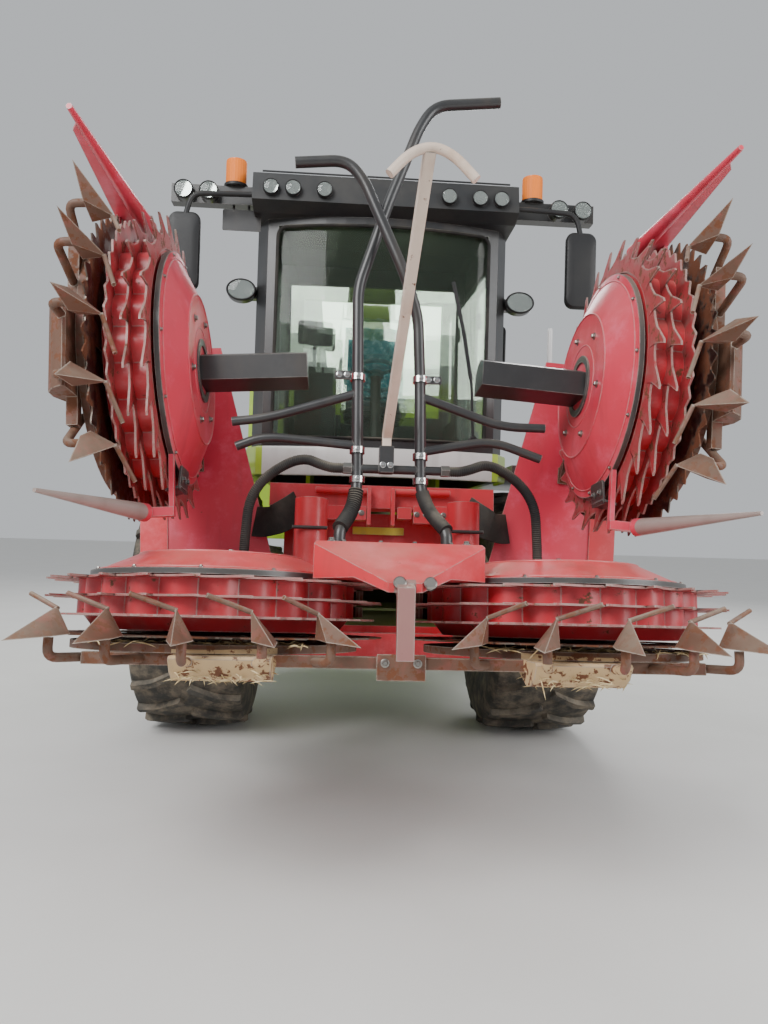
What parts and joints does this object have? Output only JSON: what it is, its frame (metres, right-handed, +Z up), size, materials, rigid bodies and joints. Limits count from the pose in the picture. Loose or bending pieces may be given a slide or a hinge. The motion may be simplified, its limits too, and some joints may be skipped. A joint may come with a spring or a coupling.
{
  "type": "forage harvester with a folded rotary maize header",
  "caption": "Self-propelled forage harvester with cab, steered rear axle, swivelling spout, and a raised rotary maize header whose toothed drums ride on folding wings.",
  "frame": {"origin": "on the ground, midway along the overall length and across the width", "axes": "+Z up, -Y forward to the header, +X to the driver's left"},
  "size_m": [3.29, 7.561, 3.91],
  "materials": {
    "frame_green": "satin",
    "axle_green": "satin",
    "crop_green": "matt",
    "body_green": "gloss",
    "spout_green": "satin",
    "dark_steel": "satin",
    "tyre": "matt",
    "rim_paint": "satin",
    "cab_black": "satin",
    "roof_black": "matt",
    "cab_window": "tinted gloss",
    "seat_cover": "matt",
    "control_black": "matt",
    "lamp": "gloss",
    "mirror_black": "matt",
    "engine_metal": "cast",
    "cylinder_black": "satin",
    "cylinder_rod": "polished",
    "header_red": "faded satin",
    "drum_red": "worn",
    "saw_steel": "worn",
    "worn_base": "rusty",
    "bar_black": "satin",
    "post_cream": "satin",
    "hose_black": "matt"
  },
  "bodies": {
    "base": {"chassis": "frame_green", "front_axle": "axle_green", "rear_axle": "axle_green", "chopper_housing": "crop_green", "spout_base": "crop_green", "cab_frame": "cab_black", "cab_glass": "cab_window", "cab_roof": "roof_black", "seat": "seat_cover", "controls": "control_black", "lights": "lamp", "mirrors": "mirror_black", "platform": "dark_steel", "rear_body": "body_green", "engine_block": "engine_metal"},
    "front_wheel_left": {"front_tyre_left": "tyre", "front_rim_left": "rim_paint"},
    "front_wheel_right": {"front_tyre_right": "tyre", "front_rim_right": "rim_paint"},
    "knuckle_left": {"knuckle_left": "dark_steel"},
    "knuckle_right": {"knuckle_right": "dark_steel"},
    "rear_wheel_left": {"rear_tyre_left": "tyre", "rear_rim_left": "rim_paint"},
    "rear_wheel_right": {"rear_tyre_right": "tyre", "rear_rim_right": "rim_paint"},
    "header": {"feeder_house": "crop_green", "header_frame": "header_red", "centre_base": "worn_base", "centre_cover": "header_red", "push_bars": "bar_black", "gauge_post": "post_cream", "hose_left": "hose_black", "hose_right": "hose_black"},
    "lift_barrels": {"lift_barrels": "cylinder_black"},
    "lift_rods": {"lift_rods": "cylinder_rod"},
    "drum_left": {"drum_left": "drum_red"},
    "saw_left": {"saw_left": "saw_steel"},
    "drum_right": {"drum_right": "drum_red"},
    "saw_right": {"saw_right": "saw_steel"},
    "wing_left": {"wing_base_left": "worn_base", "wing_cover_left": "header_red", "wing_arm_left": "bar_black"},
    "wing_right": {"wing_base_right": "worn_base", "wing_cover_right": "header_red", "wing_arm_right": "bar_black"},
    "wing_drum_left": {"wing_drum_left": "drum_red"},
    "wing_saw_left": {"wing_saw_left": "saw_steel"},
    "wing_drum_right": {"wing_drum_right": "drum_red"},
    "wing_saw_right": {"wing_saw_right": "saw_steel"},
    "fold_barrel_left": {"fold_barrel_left": "cylinder_black"},
    "fold_rod_left": {"fold_rod_left": "cylinder_rod"},
    "fold_barrel_right": {"fold_barrel_right": "cylinder_black"},
    "fold_rod_right": {"fold_rod_right": "cylinder_rod"},
    "cab_door": {"cab_door": "cab_black", "door_glass": "cab_window"},
    "side_panel_left": {"side_panel_left": "body_green"},
    "side_panel_right": {"side_panel_right": "body_green"},
    "spout_collar": {"spout_collar": "dark_steel"},
    "spout": {"spout": "spout_green"},
    "spout_flap": {"spout_flap": "dark_steel"}
  },
  "joints": [
    {"name": "front_wheel_left_roll", "type": "hinge", "parent": "base", "child": "front_wheel_left", "pos_m": [1.25, -0.23, 0.925], "axis": [1, 0, 0], "continuous": true},
    {"name": "front_wheel_right_roll", "type": "hinge", "parent": "base", "child": "front_wheel_right", "pos_m": [-1.25, -0.23, 0.925], "axis": [1, 0, 0], "continuous": true},
    {"name": "steer_left", "type": "hinge", "parent": "base", "child": "knuckle_left", "pos_m": [0.85, 2.67, 0.656], "axis": [0, 0, 1], "range_deg": [-30, 30]},
    {"name": "steer_right", "type": "hinge", "parent": "base", "child": "knuckle_right", "pos_m": [-0.85, 2.67, 0.656], "axis": [0, 0, 1], "range_deg": [-30, 30]},
    {"name": "rear_wheel_left_roll", "type": "hinge", "parent": "knuckle_left", "child": "rear_wheel_left", "pos_m": [1.15, 2.67, 0.656], "axis": [1, 0, 0], "continuous": true},
    {"name": "rear_wheel_right_roll", "type": "hinge", "parent": "knuckle_right", "child": "rear_wheel_right", "pos_m": [-1.15, 2.67, 0.656], "axis": [1, 0, 0], "continuous": true},
    {"name": "header_lift", "type": "hinge", "parent": "base", "child": "header", "pos_m": [0, -0.99, 1.18], "axis": [-1, 0, 0], "range_deg": [-21, 2]},
    {"name": "lift_barrels_swing", "type": "hinge", "parent": "base", "child": "lift_barrels", "pos_m": [0, -0.44, 0.56], "axis": [-1, 0, 0], "range_deg": [-9.35, 1.8]},
    {"name": "lift_rods_slide", "type": "slide", "parent": "lift_barrels", "child": "lift_rods", "axis": [0, -0.965, 0.2624], "range_m": [-0.1895, 0.0226]},
    {"name": "drum_left_turn", "type": "hinge", "parent": "header", "child": "drum_left", "pos_m": [0.75, -2.79799, 1.13928], "axis": [0, 0.1201, 0.9928], "continuous": true},
    {"name": "saw_left_turn", "type": "hinge", "parent": "header", "child": "saw_left", "pos_m": [0.75, -2.81144, 1.02809], "axis": [0, 0.1201, 0.9928], "continuous": true},
    {"name": "drum_right_turn", "type": "hinge", "parent": "header", "child": "drum_right", "pos_m": [-0.75, -2.79799, 1.13928], "axis": [0, 0.1201, 0.9928], "continuous": true},
    {"name": "saw_right_turn", "type": "hinge", "parent": "header", "child": "saw_right", "pos_m": [-0.75, -2.81144, 1.02809], "axis": [0, 0.1201, 0.9928], "continuous": true},
    {"name": "wing_fold_left", "type": "hinge", "parent": "header", "child": "wing_left", "pos_m": [1.1, -1.85967, 0.98543], "axis": [0, 0.9928, -0.1201], "range_deg": [0, 86]},
    {"name": "wing_fold_right", "type": "hinge", "parent": "header", "child": "wing_right", "pos_m": [-1.1, -1.85967, 0.98543], "axis": [0, -0.9928, 0.1201], "range_deg": [0, 86]},
    {"name": "wing_drum_left_turn", "type": "hinge", "parent": "wing_left", "child": "wing_drum_left", "pos_m": [1.14032, -2.52565, 2.22441], "axis": [-0.9976, 0.0084, 0.0693], "continuous": true},
    {"name": "wing_saw_left_turn", "type": "hinge", "parent": "wing_left", "child": "wing_saw_left", "pos_m": [1.25205, -2.52659, 2.21665], "axis": [-0.9976, 0.0084, 0.0693], "continuous": true},
    {"name": "wing_drum_right_turn", "type": "hinge", "parent": "wing_right", "child": "wing_drum_right", "pos_m": [-1.14032, -2.52565, 2.22441], "axis": [0.9976, 0.0084, 0.0693], "continuous": true},
    {"name": "wing_saw_right_turn", "type": "hinge", "parent": "wing_right", "child": "wing_saw_right", "pos_m": [-1.25205, -2.52659, 2.21665], "axis": [0.9976, 0.0084, 0.0693], "continuous": true},
    {"name": "fold_barrel_left_swing", "type": "hinge", "parent": "header", "child": "fold_barrel_left", "pos_m": [0.5, -1.6959, 1.13182], "axis": [0, 0.9928, -0.1201], "range_deg": [-1.86, 1]},
    {"name": "fold_rod_left_slide", "type": "slide", "parent": "fold_barrel_left", "child": "fold_rod_left", "axis": [0.9992, -0.0048, -0.0401], "range_m": [-0.005, 0.2777]},
    {"name": "fold_barrel_right_swing", "type": "hinge", "parent": "header", "child": "fold_barrel_right", "pos_m": [-0.5, -1.6959, 1.13182], "axis": [0, -0.9928, 0.1201], "range_deg": [-1.86, 1]},
    {"name": "fold_rod_right_slide", "type": "slide", "parent": "fold_barrel_right", "child": "fold_rod_right", "axis": [-0.9992, -0.0048, -0.0401], "range_m": [-0.005, 0.2777]},
    {"name": "cab_door_swing", "type": "hinge", "parent": "base", "child": "cab_door", "pos_m": [0.87, 0.01, 2.8], "axis": [0, 0, 1], "range_deg": [0, 80]},
    {"name": "side_panel_left_lift", "type": "hinge", "parent": "base", "child": "side_panel_left", "pos_m": [1.138, 2.39, 2.4077], "axis": [0, -1, 0], "range_deg": [0, 70]},
    {"name": "side_panel_right_lift", "type": "hinge", "parent": "base", "child": "side_panel_right", "pos_m": [-1.138, 2.39, 2.4077], "axis": [0, 1, 0], "range_deg": [0, 70]},
    {"name": "spout_turn", "type": "hinge", "parent": "base", "child": "spout_collar", "pos_m": [0, 0.82, 3.05], "axis": [0, 0, 1], "range_deg": [-95, 95]},
    {"name": "spout_lift", "type": "hinge", "parent": "spout_collar", "child": "spout", "pos_m": [0, 0.69, 3.16], "axis": [1, 0, 0], "range_deg": [0, 25]},
    {"name": "spout_flap_tilt", "type": "hinge", "parent": "spout", "child": "spout_flap", "pos_m": [0, 3.64, 3.595], "axis": [1, 0, 0], "range_deg": [-20, 45]}
  ],
  "couplings": [
    {"joint": "steer_right", "follows": "steer_left", "ratio": 1},
    {"joint": "lift_barrels_swing", "follows": "header_lift", "ratio": 0.39751},
    {"joint": "lift_rods_slide", "follows": "header_lift", "m_per_rad": 0.50347},
    {"joint": "fold_barrel_left_swing", "follows": "wing_fold_left", "ratio": -0.00996},
    {"joint": "fold_rod_left_slide", "follows": "wing_fold_left", "m_per_rad": 0.18165},
    {"joint": "fold_barrel_right_swing", "follows": "wing_fold_right", "ratio": -0.00996},
    {"joint": "fold_rod_right_slide", "follows": "wing_fold_right", "m_per_rad": 0.18165}
  ]
}
